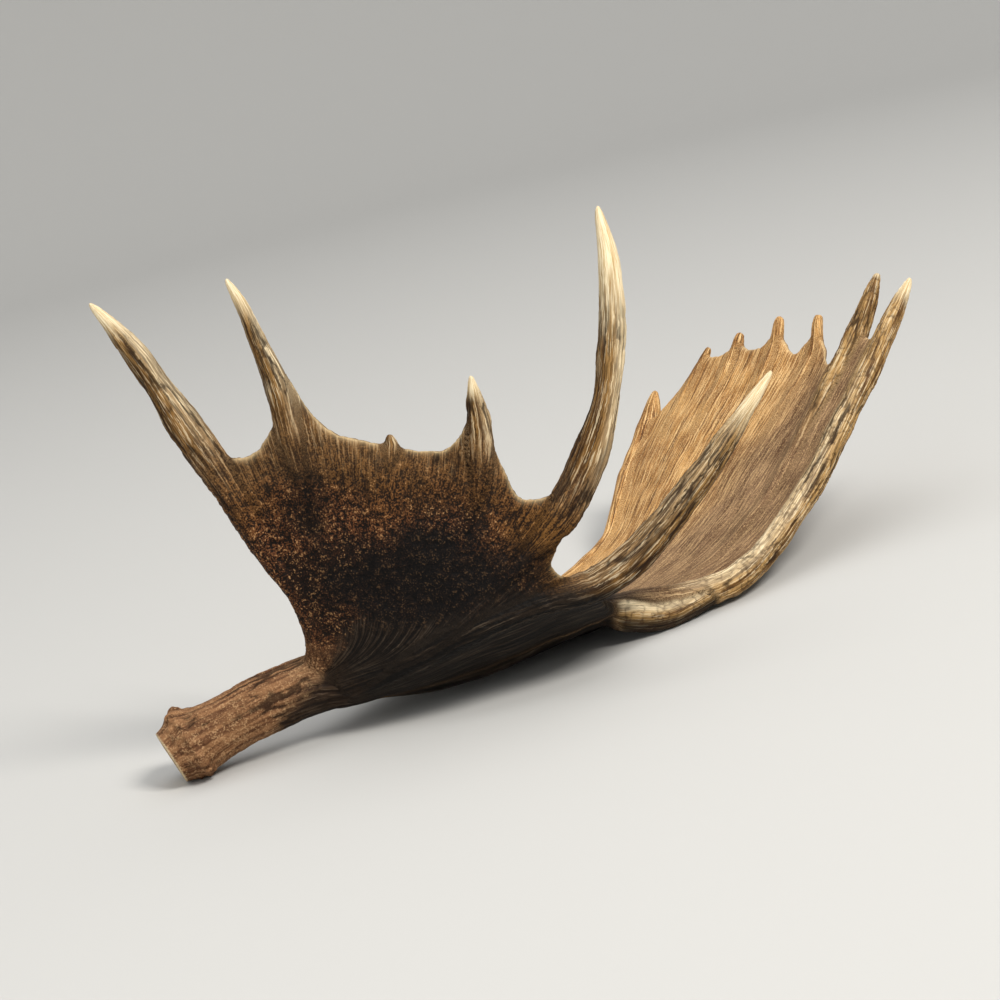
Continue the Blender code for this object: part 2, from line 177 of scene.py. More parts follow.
# The ribs of the main palm, from its thick outer rim round to its rear edge
MAIN_RIBS = {
    "main_7": [
        (-0.159, 0.016, -0.165),
        (-0.045, 0.048, -0.141),
        (0.063, 0.078, -0.096),
        (0.174, 0.128, -0.071),
        (0.237, 0.185, 0.000),
        (0.288, 0.240, 0.098),
        (0.310, 0.262, 0.147),
        (0.329, 0.278, 0.189),
    ],
    "main_6": [
        (-0.162, 0.022, -0.167),
        (-0.045, 0.080, -0.140),
        (0.068, 0.128, -0.101),
        (0.156, 0.185, -0.057),
        (0.213, 0.230, 0.007),
        (0.260, 0.268, 0.093),
        (0.284, 0.288, 0.143),
        (0.301, 0.302, 0.192),
    ],
    "main_5": [
        (-0.165, 0.028, -0.165),
        (-0.048, 0.108, -0.132),
        (0.056, 0.165, -0.099),
        (0.132, 0.230, -0.051),
        (0.189, 0.285, 0.027),
        (0.243, 0.322, 0.114),
        (0.251, 0.332, 0.156),
    ],
    "main_4": [
        (-0.168, 0.033, -0.162),
        (-0.054, 0.130, -0.128),
        (0.045, 0.195, -0.096),
        (0.108, 0.270, -0.045),
        (0.162, 0.330, 0.033),
        (0.208, 0.362, 0.114),
        (0.217, 0.372, 0.154),
    ],
    "main_3": [
        (-0.171, 0.037, -0.159),
        (-0.061, 0.150, -0.121),
        (0.032, 0.218, -0.091),
        (0.091, 0.302, -0.042),
        (0.134, 0.366, 0.037),
        (0.174, 0.402, 0.110),
        (0.183, 0.410, 0.140),
    ],
    "main_2": [
        (-0.174, 0.040, -0.154),
        (-0.071, 0.162, -0.116),
        (0.019, 0.236, -0.088),
        (0.076, 0.330, -0.041),
        (0.110, 0.398, 0.033),
        (0.144, 0.440, 0.102),
        (0.156, 0.447, 0.129),
    ],
    "main_1": [
        (-0.177, 0.041, -0.150),
        (-0.083, 0.168, -0.108),
        (0.007, 0.250, -0.086),
        (0.066, 0.345, -0.042),
        (0.087, 0.415, 0.018),
        (0.104, 0.460, 0.060),
        (0.110, 0.472, 0.091),
    ],
}
MAIN_RADII = {
    "main_7": [0.018, 0.014, 0.0135, 0.0135, 0.0125, 0.0122, 0.0112, 0.0030],
    "main_6": [0.016, 0.007, 0.005, 0.006, 0.009, 0.0120, 0.0125, 0.0046],
    "main_5": [0.014, 0.006, 0.004, 0.003, 0.003, 0.0085, 0.0042],
    "main_4": [0.014, 0.006, 0.004, 0.003, 0.003, 0.0085, 0.0042],
    "main_3": [0.014, 0.006, 0.004, 0.003, 0.003, 0.0085, 0.0042],
    "main_2": [0.014, 0.006, 0.004, 0.003, 0.003, 0.0085, 0.0042],
    "main_1": [0.014, 0.009, 0.008, 0.009, 0.0105, 0.0125, 0.0044],
}
MAIN_WEBS = [
    (6.0, 5.9, 6.0),
    (5.8, 5.3, 5.85),
    (5.85, 5.2, 5.85),
    (5.85, 5.35, 5.85),
    (5.85, 5.4, 5.8),
    (5.85, 5.05, 4.75),
]

# The belly, the sheet under the fork between the fork rib and the outer rim: its middle rib and far edge
BELLY_MIDDLE = [
    (-0.156, 0.010, -0.164),
    (-0.078, 0.012, -0.143),
    (-0.012, 0.016, -0.121),
    (0.033, 0.024, -0.102),
    (0.063, 0.034, -0.091),
    (0.083, 0.044, -0.086),
]
BELLY_REAR = [
    (-0.159, 0.016, -0.165),
    (-0.090, 0.036, -0.151),
    (-0.030, 0.052, -0.135),
    (0.022, 0.066, -0.114),
    (0.063, 0.078, -0.098),
    (0.093, 0.090, -0.095),
]

# The lip, where the thick rim curls round the fork
LIP = [
    (0.057, 0.060, -0.093),
    (0.087, 0.080, -0.099),
    (0.123, 0.098, -0.096),
    (0.168, 0.124, -0.073),
]
LIP_RADII = [0.0135, 0.0150, 0.0150, 0.0110]

# Where the tines part from the bone: the rib, the place counted in rib points, half the width of the cut
TINES = {
    "brow_tine_1": ("brow_1", 5.6, 0.050),
    "brow_tine_2": ("brow_2", 5.6, 0.035),
    "brow_tine_3": ("brow_3", 5.5, 0.028),
    "brow_tine_4": ("brow_4", 5.3, 0.045),
    "fork_tine": ("fork", 5.6, 0.032),
    "outer_point_6": ("main_6", 5.95, 0.0165),
    "outer_point_7": ("main_7", 5.95, 0.0200),
}
# Where the larger pieces part: the start of the cut, its end, and half its width and its depth
BLOCKS = {
    "beam": ((-0.186, 0.017, -0.157), (-0.346, -0.022, -0.243), 0.055, 0.055),
    "brow_palm": ((-0.050, -0.115, -0.106), (-0.200, -0.115, 0.371), 0.300, 0.145),
    "main_palm_end": ((0.205, 0.2193, 0.000), (0.607, 0.347, 0.000), 0.500, 0.400),
    "main_palm": ((0.035, 0.165, 0.000), (0.607, 0.347, 0.000), 0.500, 0.400),
}

# The upper border of the dark belly, which is painted shade, on the brow palm's front: x and z of its points
BELLY_LINE = [
    (-0.225, -0.190),
    (-0.200, -0.168),
    (-0.176, -0.143),
    (-0.160, -0.118),
    (-0.145, -0.104),
    (-0.080, -0.104),
    (-0.011, -0.079),
    (0.036, -0.071),
    (0.080, -0.073),
]
# The near-black patch of painted shade low on the brow palm: its middle in x and z, and its half sizes
SHADE_PATCH = ((-0.082, -0.074), (0.100, 0.050))

# Ivory at the tips: how far it runs down from each tip, in metres
IVORY = {
    "brow_1": 0.036,
    "brow_2": 0.036,
    "brow_3": 0.020,
    "brow_4": 0.110,
    "fork": 0.066,
    "main_7": 0.030,
    "main_6": 0.006,
}


# ---------------------------------------------------------------- arrays and noise


def opened(points):
    """The points with their widths and heights opened out by 1 + y / STATION, as distance makes them."""
    points = np.array(points, float)
    scale = 1 + points[:, 1:2] / STATION
    return points * np.hstack([scale, np.ones_like(scale), scale])


def weights(t, last):
    """Catmull-Rom weights at parameter t over points 0..last: four point numbers and their weights."""
    left = np.clip(np.floor(t), 0, last - 1).astype(int)
    f = t - left
    four = np.stack([left - 1, left, left + 1, left + 2])
    factor = 0.5 * np.stack([
        -f + 2 * f**2 - f**3,
        2 - 5 * f**2 + 3 * f**3,
        f + 4 * f**2 - 3 * f**3,
        -(f**2) + f**3,
    ])
    return four, factor


def along(points, t):
    """The smooth curve through the points, read at t, counted in points. The ends run on straight."""
    padded = np.vstack([2 * points[0] - points[1], points, 2 * points[-1] - points[-2]])
    four, factor = weights(np.asarray(t, float), len(points) - 1)
    return (padded[four + 1] * factor[..., None]).sum(axis=0)


def unit(vectors):
    """The vectors at length 1."""
    return vectors / np.maximum(np.linalg.norm(vectors, axis=-1, keepdims=True), 1e-12)


def ease(low, high, values):
    """0 below low, 1 above high, and an even S between them: 3f^2 - 2f^3."""
    f = np.clip((values - low) / (high - low), 0, 1)
    return f * f * (3 - 2 * f)


def noise(points, seed):
    """Noise from -1 to 1: a random number at each whole-numbered corner, eased along each axis between."""
    cell = np.floor(points).astype(np.int64)
    f = points - cell
    f = f**3 * (f * (f * 6 - 15) + 10)
    total = np.zeros(len(points))
    for corner in np.ndindex(2, 2, 2):
        x, y, z = (cell + np.array(corner)).T
        key = x * 73856093 ^ y * 19349663 ^ z * 83492791 ^ seed * 2654435761
        key = (key ^ (key >> 13)) * 1274126177
        value = ((key ^ (key >> 16)) & 0xFFFF) / 32767.5 - 1
        share = np.where(corner, f, 1 - f).prod(axis=1)
        total += share * value
    return total


def streaked(grain, width, length, seed):
    """Noise drawn out along the grain: width across a streak and length along it."""
    return noise(grain / np.array([width, width, length]), seed)


def creases(values, sharpness=2.0):
    """Narrow valleys where the noise crosses zero: (1 - |v|) raised to the sharpness."""
    return np.clip(1 - 2.2 * np.abs(values), 0, 1) ** sharpness


# ---------------------------------------------------------------- rods and sheets


class Source:
    """Grids of points with their faces, and what the skin is to know of each point.

    grain: two coordinates across the grain and one along it, in metres
    make: 1 on a rod and 0 on a sheet; 1 on a sheet's inner face and -1 on its outer; metres to its free edge
    family: 1 in the brow palm, in the main palm, in the belly; the beam is none of them
    field: how far up the rib, 1 at the web's edge; the rib's number across the palm; 1 on the lip
    """

    FIELDS = ("grain", "make", "family", "field")

    def __init__(self):
        self.points = []
        self.faces = []
        self.fields = {name: [] for name in self.FIELDS}
        self.count = 0

    def add(self, points, faces, **fields):
        self.points.append(points.reshape(-1, 3))
        self.faces.append(faces.reshape(-1, 4) + self.count)
        size = points.size // 3
        for name in self.FIELDS:
            columns = [np.broadcast_to(column, points.shape[:-1]).reshape(-1) for column in fields[name]]
            self.fields[name].append(np.stack(columns, axis=1))
        self.count += size

    def mesh(self):
        mesh = new_mesh("source", np.concatenate(self.points), np.concatenate(self.faces))
        for name in self.FIELDS:
            put(mesh, name, np.concatenate(self.fields[name]))
        return mesh


def new_mesh(name, points, faces):
    """A mesh of quads from whole arrays."""
    mesh = bpy.data.meshes.new(name)
    mesh.vertices.add(len(points))
    mesh.vertices.foreach_set("co", points.astype(np.float32).ravel())
    mesh.loops.add(faces.size)
    mesh.loops.foreach_set("vertex_index", faces.astype(np.int32).ravel())
    mesh.polygons.add(len(faces))
    mesh.polygons.foreach_set("loop_start", np.arange(0, faces.size, 4, dtype=np.int32))
    mesh.update(calc_edges=True)
    mesh.validate()
    return mesh


def put(mesh, name, values):
    """Stores one number or one vector for each point."""
    kind, key = ("FLOAT", "value") if values.ndim == 1 else ("FLOAT_VECTOR", "vector")
    layer = mesh.attributes.new(name, kind, "POINT")
    layer.data.foreach_set(key, values.astype(np.float32).ravel())


def get(mesh, name):
    """The vector stored for each point."""
    values = np.empty(len(mesh.vertices) * 3, np.float32)
    mesh.attributes[name].data.foreach_get("vector", values)
    return values.reshape(-1, 3).astype(float)


def ring_faces(rows, columns):
    """Quads of a grid whose columns run round and close."""
    index = np.arange(rows * columns).reshape(rows, columns)
    index = np.hstack([index, index[:, :1]])
    return np.stack([index[:-1, :-1], index[1:, :-1], index[1:, 1:], index[:-1, 1:]], axis=-1)


def rod(source, points, radii, family, web_edge, layer, lip=0.0, number=0.0, around=56, fine=24, start=0.45):
    """A closed rod: at each step a circle across the path, its radius following the radii, which falls off
    as the TAPER power of what is left of the last stretch. It opens from the start's share of its thickness
    as the square root of the way along. A ring of no radius closes it, a quarter circle rounds its tip."""
    last = len(points) - 1
    steps = np.linspace(0, last, fine * last + 1)
    path = along(points, steps)
    thick = np.interp(steps, np.arange(last + 1), radii)
    end = steps > last - 1
    thick[end] = radii[-1] + (radii[-2] - radii[-1]) * (last - steps[end]) ** TAPER
    thick *= start + (1 - start) * np.sqrt(np.clip(steps / 0.8, 0, 1))
    ahead = unit(np.gradient(path, axis=0))
    side = unit(np.cross(ahead, (0, 1, 0)))
    rise = np.cross(side, ahead)
    bend = np.linspace(0, np.pi / 2, 7)[1:]
    tip = path[-1] + ahead[-1] * radii[-1] * np.sin(bend)[:, None]
    path = np.vstack([path[:1], path, tip])
    thick = np.concatenate([[0], thick, radii[-1] * np.cos(bend)])
    steps = np.concatenate([steps[:1], steps, np.full(len(bend), steps[-1])])
    side, rise = (np.vstack([v[:1], v, np.repeat(v[-1:], len(bend), axis=0)]) for v in (side, rise))
    turn = np.linspace(0, 2 * np.pi, around, endpoint=False)
    spoke = np.cos(turn)[None, :, None] * side[:, None] + np.sin(turn)[None, :, None] * rise[:, None]
    grid = path[:, None] + spoke * thick[:, None, None]
    length = np.concatenate([[0], np.cumsum(np.linalg.norm(np.diff(path, axis=0), axis=1))])
    body = float(np.mean(radii))
    source.add(
        grid,
        ring_faces(len(path), around),
        grain=(body * np.cos(turn)[None], body * np.sin(turn)[None] + layer, length[:, None] + layer),
        make=(1.0, 0.0, 0.05),
        family=family,
        field=(steps[:, None] / web_edge, number, lip),
    )


def front_and_back(values):
    """The values of a sheet's front face, followed by the same values run back for its other face."""
    return np.concatenate([values, values[:, ::-1]], axis=1)


def web_reach(s, webs):
    """How far up the ribs the sheet reaches at s, counted in ribs: each web's reach half way, drawn towards
    that beside the nearer rib by the square of (2f - 1), f being the share of the way across."""
    left = np.clip(np.floor(s), 0, len(webs) - 1).astype(int)
    f = s - left
    first, middle, second = np.array(webs)[left].T
    return middle + (np.where(f < 0.5, first, second) - middle) * (2 * f - 1) ** 2


def sheet(source, ribs, reach, family, web_edge, layer, inner=1, edge=SHEET_EDGE, rows=44, columns=220):
    """A thick sheet: points on neighbouring ribs are joined by smooth curves across them, as far up as reach
    says, and both faces stand half the thickness off along the sheet's normal. The thickness falls from the
    root's to the edge's as (1 - t/3)^1.5, the free edge is rounded, and the root opens out of the beam."""
    s = np.linspace(0, len(ribs) - 1, rows * (len(ribs) - 1) + 1)
    share = np.linspace(0, 1, columns)
    ragged = np.stack([s * 7.0, np.full_like(s, layer * 50), np.zeros_like(s)], axis=1)
    limit = reach(s) + 0.03 * noise(ragged, 3) + 0.025 * noise(ragged * 2.7, 4)
    t = share[None, :] * limit[:, None]
    on_ribs = np.stack([along(rib, t) for rib in ribs])
    padded = np.concatenate([2 * on_ribs[:1] - on_ribs[1:2], on_ribs, 2 * on_ribs[-1:] - on_ribs[-2:-1]])
    four, factor = weights(s, len(ribs) - 1)
    across = np.arange(len(s))
    middle = sum(padded[four[k] + 1, across] * factor[k][:, None, None] for k in range(4))
    run = np.gradient(middle, axis=1)
    normal = unit(np.cross(np.gradient(middle, axis=0), run))
    step = np.linalg.norm(run, axis=-1)
    length = np.cumsum(step, axis=1)
    to_edge = length[:, -1:] - length
    half = edge / 2 + (SHEET_ROOT - edge) / 2 * np.clip(1 - t / 3.0, 0, 1) ** 1.5
    half = half * (0.6 + 0.4 * np.sqrt(np.clip(to_edge / 0.005, 0, 1)))
    half = half * (0.68 + 0.32 * np.sqrt(np.clip(t / 0.6, 0, 1)))
    offset = normal * half[..., None]
    grid = np.concatenate([middle + offset, (middle - offset)[:, ::-1]], axis=1)
    faces = ring_faces(len(s), 2 * columns).reshape(-1, 4)
    front = np.arange(columns - 1)
    rear = 2 * columns - 1 - front
    first = np.stack([front, front + 1, rear - 1, rear], axis=1)
    final = (first + (len(s) - 1) * 2 * columns)[:, ::-1]
    face = inner * np.concatenate([np.ones(columns), -np.ones(columns)])
    source.add(
        grid,
        np.concatenate([faces, first, final]),
        grain=(s[:, None] * WEB_WIDTH, layer + 0.02 * face[None], front_and_back(length) + layer),
        make=(0.0, face[None], front_and_back(to_edge)),
        family=family,
        field=(front_and_back(t / web_edge), s[:, None], 0.0),
    )


def sources(brow, main):
    """Every rod and sheet of the bone. The layer numbers only keep the streaks of one part off another."""
    source = Source()
    none, in_brow, in_main, in_belly = (0, 0, 0), (1, 0, 0), (0, 1, 0), (0, 0, 1)
    rod(source, opened(BEAM), BEAM_RADII, none, 9.0, 0.3, around=120, fine=12, start=1.0)
    rod(source, opened(LIP), LIP_RADII, in_main, 5.6, 0.5, lip=1.0, start=0.1)
    for number, name in enumerate(brow):
        rod(source, brow[name], BROW_RADII[name], in_brow, 5.4, 1.0 + number, number=number)
    for number, name in enumerate(main):
        rod(source, main[name], MAIN_RADII[name], in_main, 5.8, 11.0 + number, number=number)
    sheet(source, list(brow.values()), lambda s: web_reach(s, BROW_WEBS), in_brow, 5.4, 21.0, BROW_INNER)
    sheet(source, list(main.values()), lambda s: web_reach(s, MAIN_WEBS), in_main, 5.8, 23.0, MAIN_INNER)
    belly = [brow["fork"][:6], opened(BELLY_MIDDLE), opened(BELLY_REAR)]
    sheet(source, belly, lambda s: 5.0 - 0.8 * np.sin(math.pi * s / 2), in_belly, 5.0, 25.0, 1, BELLY_EDGE)
    return source.mesh()


# ---------------------------------------------------------------- the skin


class Skin:
    """The whole bone's surface as arrays: points, quads, edges, and the fields carried from its sources."""

    def __init__(self, mesh):
        self.points = read_points(mesh)
        self.faces = np.empty(len(mesh.loops), np.int32)
        mesh.loops.foreach_get("vertex_index", self.faces)
        self.faces = self.faces.reshape(-1, 4)
        self.edges = np.empty(len(mesh.edges) * 2, np.int32)
        mesh.edges.foreach_get("vertices", self.edges)
        self.edges = self.edges.reshape(-1, 2)
        self.valence = np.bincount(self.edges.ravel(), minlength=len(self.points))
        self.fields = {name: get(mesh, name) for name in Source.FIELDS}

    def spread(self, values, times, pull=0.5):
        """The values drawn towards the mean of their neighbours, so many times."""
        values = values.reshape(len(self.points), -1).astype(float)
        a, b = self.edges.T
        for _ in range(times):
            total = np.stack([
                np.bincount(a, column[b], len(column)) + np.bincount(b, column[a], len(column))
                for column in values.T
            ], axis=1)
            values = values + pull * (total / self.valence[:, None] - values)
        return values.squeeze()

    def fill_hollows(self, times):
        """Draws the points out towards the mean of their neighbours and never in, so that creases fill up
        into fillets while edges and tips keep their size. The normals are renewed at every sixth step."""
        for step in range(times):
            if step % 6 == 0:
                normal = self.normals()
            lift = ((self.spread(self.points, 1) - self.points) * normal).sum(axis=1)
            self.points = self.points + normal * np.maximum(lift, 0)[:, None]

    def normals(self):
        """Each point's normal: the sum of its faces' normals, each the cross product of the diagonals."""
        corner = self.points[self.faces]
        cross = np.cross(corner[:, 2] - corner[:, 0], corner[:, 3] - corner[:, 1])
        total = np.stack([
            np.bincount(self.faces.ravel(), np.repeat(column, 4), len(self.points)) for column in cross.T
        ], axis=1)
        return unit(total)


def read_points(mesh):
    """The mesh's points as one array."""
    points = np.empty(len(mesh.vertices) * 3, np.float32)
    mesh.vertices.foreach_get("co", points)
    return points.reshape(-1, 3).astype(float)


def grown_together(source):
    """The rods and sheets as one closed skin of even quads, with their fields carried over."""
    blank = bpy.data.objects.new("source", source)
    bpy.context.scene.collection.objects.link(blank)
    source.remesh_voxel_size = GRAIN
    source.remesh_voxel_adaptivity = 0
    source.use_remesh_preserve_attributes = True
    with bpy.context.temp_override(object=blank, active_object=blank, selected_objects=[blank]):
        bpy.ops.object.voxel_remesh()
    skin = Skin(blank.data)
    bpy.data.objects.remove(blank)
    return skin


def surroundings(skin, brow, main):
    """What each point of the skin is, as numbers from 0 to 1, from the fields and from its place."""
    grain = skin.spread(skin.fields["grain"], 2)
    rods, face, to_edge = skin.spread(skin.fields["make"], 10).T
    in_brow, in_main, in_belly = skin.spread(skin.fields["family"], 24).T
    rise, number, lip = skin.spread(skin.fields["field"], 8).T
    points = skin.points
    beam_end = opened(BEAM)[0]
    beam_way = unit(opened(BEAM)[1] - beam_end)
    from_saw = (points - beam_end) @ beam_way
    beam_axis = unit(np.array(BEAM[7]) - np.array(BEAM[0]))
    along_beam = (points - beam_end) @ beam_axis
    ragged = 0.016 * noise(points / 0.02, 31) + 0.008 * noise(points / 0.006, 32)
    away = np.linalg.norm(points - beam_end - along_beam[:, None] * beam_axis, axis=1)
    in_beam = ease(0.185, 0.105, along_beam + ragged) * ease(0.060, 0.040, away + 0.5 * ragged)
    ribs = brow | main
    ivory = np.zeros(len(points))
    for name, reach in IVORY.items():
        away = np.linalg.norm(points - ribs[name][-1], axis=1) / reach
        ivory = np.maximum(ivory, 1 - ease(0.15, 1.15, away))
    return {
        "points": points,
        "grain": grain,
        "rods": rods,
        "inner": np.clip(face, -1, 1),
        "normal": skin.normals(),
        "rim": np.exp(-np.clip(to_edge, 0, 1) / 0.0016) * (1 - rods),
        "brow": in_brow,
        "main": in_main,
        "belly": in_belly,
        "beam": in_beam,
        "rise": rise,
        "number": number,
        "lip": lip,
        "ivory": ivory,
        "saw": from_saw,
    }


def rim_share(number, rise):
    """1 along the outer rim, and along the rib beside it towards its tip; 0 on the other ribs."""
    return np.maximum(ease(0.9, 0.4, number), ease(2.0, 0.9, number) * ease(0.72, 0.90, rise))


def relief(skin, at):
    """How far each point stands out of the smooth bone, in metres, and the marks that go with it: its
    grooves, veins, pits and pearls, each from 0 to 1."""
    grain, points = at["grain"], skin.points
    polished = 1 - 0.85 * at["ivory"]
    tine = ease(0.72, 1.1, at["rise"])
    high = ease(0.45, 0.95, at["rise"])
    # Long grooves that fork and run together, deep on the beam, the tines and the outer rim
    warp = 0.0014 * noise(points / 0.012, 11) + 0.0006 * noise(points / 0.005, 16)
    bent = grain + warp[:, None] * np.array([1.0, 1.0, 0.0])
    wide = creases(streaked(bent, 0.0052, 0.060, 12), 2.2)
    fine = creases(streaked(bent, 0.0030, 0.032, 13), 1.8)
    channels = creases(streaked(bent, 0.016, 0.21, 14), 2.4)
    outer_rim = at["rods"] * at["main"] * rim_share(at["number"], at["rise"]) * ease(0.36, 0.50, at["rise"])
    grooved = np.clip(
        at["beam"] + at["rods"] * tine + 0.9 * outer_rim + 0.5 * at["lip"] + 0.9 * at["brow"] * high, 0, 1
    )
    forked = at["brow"] * ease(*FORK_RIB, at["number"])
    patchy = 0.45 + 0.75 * ease(-0.5, 0.5, noise(points / 0.035, 15)) + 0.5 * forked
    groove = np.clip((1.0 * wide + 0.7 * fine) * grooved * patchy, 0, 1) * polished
    outer = ease(0.1, 0.9, -at["inner"]) * (1 - at["rods"])
    vein = channels * np.clip(outer * (at["main"] + at["belly"]) + 0.5 * at["belly"], 0, 1) * 0.7
    # Pearls, rounded grains that crowd the brow palm and the burr
    pearl = noise((points + warp[:, None]) / 0.0036, 21) + 0.6 * noise(points / 0.0023, 22)
    burr = np.exp(-(((at["saw"] - 0.021) / 0.012) ** 2)) * at["beam"]
    knobs = ease(-0.1, 0.9, noise(points / 0.0085, 23) + 0.4 * noise(points / 0.004, 24))
    pearly = np.clip(at["brow"] * (1 - 0.7 * tine) + 0.5 * at["beam"], 0, 1)
    swell = 0.0014 * noise(points / 0.045, 25) + 0.0009 * noise(points / 0.020, 26)
    pits = creases(noise(points / 0.006, 27) - 0.25, 3.0) * np.clip(at["lip"] + outer_rim, 0, 1)
    height = (
        swell * (1 - at["ivory"])
        - 0.0012 * groove
        - 0.0010 * vein
        + 0.00050 * pearl * pearly
        + 0.00018 * streaked(grain, 0.0030, 0.030, 28) * polished
        + 0.0042 * knobs * burr
        - 0.0007 * pits
    )
    height *= 1 - 0.8 * ease(0.0015, 0.0005, at["saw"])
    return height, {
        "groove": groove,
        "vein": np.clip(vein, 0, 1),
        "pits": np.clip(pits, 0, 1),
        "pearl": np.clip(0.5 + 0.4 * pearl, 0, 1),
    }


# ---------------------------------------------------------------- pieces


def cut_frame(start, end):
    """A cut's start and directions: ahead to its end, deep along y as nearly as it can be, and across."""
    start, end = Vector(start), Vector(end)
    ahead = (end - start).normalized()
    deep = (Vector((0, 1, 0)) - ahead.y * ahead).normalized()
    across = deep.cross(ahead)
    return start, ahead, deep, across


def cuts(ribs):
    """For each piece: where its cut starts, its three directions, and its length and half sizes."""
    found = {}
    for name, (rib, place, half) in TINES.items():
        start, tip = along(ribs[rib], place), ribs[rib][-1]
        beyond = tip + (tip - start) / np.linalg.norm(tip - start) * BEYOND
        found[name] = (start, beyond, half, half)
    found |= BLOCKS
    made = {}
    for name, (start, end, half_across, half_deep) in found.items():
        origin, ahead, deep, across = cut_frame(start, end)
        made[name] = (
            np.array(origin),
            np.array([across, deep, ahead]),
            np.array([half_across, half_deep, (Vector(end) - origin).length]),
        )
    return made


def labels(skin, made):
    """The number of the piece that each face belongs to, its cut counted from 1, and 0 for the palm base."""
    centre = skin.points[skin.faces].mean(axis=1)
    label = np.zeros(len(centre), int)
    for number, (origin, ways, size) in enumerate(made.values(), start=1):
        local = (centre - origin) @ ways.T
        inside = (np.abs(local[:, :2]) < size[:2]).all(axis=1) & (local[:, 2] > 0) & (local[:, 2] < size[2])
        label[inside & (label == 0)] = number
    return label


def straightened(skin, label, made):
    """Moves the points where two pieces meet on to the nearest side of the cut between them."""
    low = np.full(len(skin.points), 99)
    high = np.full(len(skin.points), -1)
    np.minimum.at(low, skin.faces.ravel(), np.repeat(label, 4))
    np.maximum.at(high, skin.faces.ravel(), np.repeat(label, 4))
    for number, (origin, ways, size) in enumerate(made.values(), start=1):
        lower = np.where(low == 0, high, low)
        mine = np.flatnonzero((low != high) & (lower == number))
        local = (skin.points[mine] - origin) @ ways.T
        walls = np.stack([
            local[:, 2], size[0] - local[:, 0], size[0] + local[:, 0], size[1] - local[:, 1],
            size[1] + local[:, 1],
        ], axis=1)
        nearest = np.abs(walls).argmin(axis=1)
        shift = walls[np.arange(len(mine)), nearest]
        way = np.stack([-ways[2], ways[0], -ways[0], ways[1], -ways[1]])[nearest]
        skin.points[mine] += way * shift[:, None]


def piece_mesh(name, skin, chosen, fields, normals):
    """One piece of the skin, its open ends filled across and its normals kept from the whole skin."""
    used, faces = np.unique(skin.faces[chosen], return_inverse=True)
    mesh = new_mesh(name, skin.points[used], faces.reshape(-1, 4))
    for field, values in fields.items():
        put(mesh, field, values[used])
    bm = bmesh.new()
    bm.from_mesh(mesh)
    rims = [edge for edge in bm.edges if edge.is_boundary]
    ends = bmesh.ops.holes_fill(bm, edges=rims, sides=0)["faces"]
    bmesh.ops.triangulate(bm, faces=ends)
    bmesh.ops.recalc_face_normals(bm, faces=bm.faces)
    if bm.calc_volume(signed=True) < 0:
        bmesh.ops.reverse_faces(bm, faces=bm.faces)
    bm.to_mesh(mesh)
    bm.free()
    mesh.shade_smooth()
    mesh.normals_split_custom_set_from_vertices(normals[used].tolist())
    return mesh


# ---------------------------------------------------------------- materials


class Shade:
    """A socket of a material's nodes. An expression on these adds its Math nodes."""

    def __init__(self, tree, socket=None):
        self.tree = tree
        self.socket = socket

    def node(self, kind, sockets, output=0, **settings):
        """A node of any type: its settings first, then the values or links of its sockets."""
        made = self.tree.nodes.new("ShaderNode" + kind)
        for setting, value in settings.items():
            setattr(made, setting, value)
        for name, value in sockets.items():
            if isinstance(value, Shade):
                self.tree.links.new(value.socket, made.inputs[name])
            else:
                made.inputs[name].default_value = value
        return Shade(self.tree, made.outputs[output])

    def math(self, operation, *values, clamp=False):
        return self.node("Math", dict(enumerate(values)), operation=operation, use_clamp=clamp)

    def __add__(self, other):
        return self.math("ADD", self, other)

    def __sub__(self, other):
        return self.math("SUBTRACT", self, other)

    def __rsub__(self, other):
        return self.math("SUBTRACT", other, self)

    def __mul__(self, other):
        return self.math("MULTIPLY", self, other)

    __radd__ = __add__
    __rmul__ = __mul__

    def clipped(self):
        return self.math("ADD", self, 0.0, clamp=True)

    def ease(self, low, high):
        """0 below low, 1 above high, and an even S between them."""
        return self.node(
            "MapRange", {"Value": self, "From Min": low, "From Max": high}, interpolation_type="SMOOTHSTEP"
        )

    def attribute(self, name, output="Fac"):
        """What the mesh stores for each point under this name."""
        return self.node("Attribute", {}, output, attribute_name=name)

    def scaled(self, factors):
        """This vector, multiplied along each axis."""
        return self.node("VectorMath", {0: self, 1: factors}, operation="MULTIPLY")

    def noise(self, detail=3.0, roughness=0.6):
        """Fractal noise from 0 to 1 at this vector."""
        sockets = {"Vector": self, "Scale": 1.0, "Detail": detail, "Roughness": roughness}
        return self.node("TexNoise", sockets, "Fac")

    def cells(self):
        """Distance to the nearest of a scatter of points, at this vector."""
        return self.node("TexVoronoi", {"Vector": self, "Scale": 1.0}, "Distance")

    def mix(self, factor, first, second):
        """From the first colour to the second."""
        return self.node("Mix", {0: factor, 6: first, 7: second}, 2, data_type="RGBA")


def rgb(red, green, blue):
    """A colour from its screen values, 0 to 255, as linear light."""
    screen = np.array([red, green, blue]) / 255
    linear = np.where(screen <= 0.04045, screen / 12.92, ((screen + 0.055) / 1.055) ** 2.4)
    return (*linear.tolist(), 1.0)


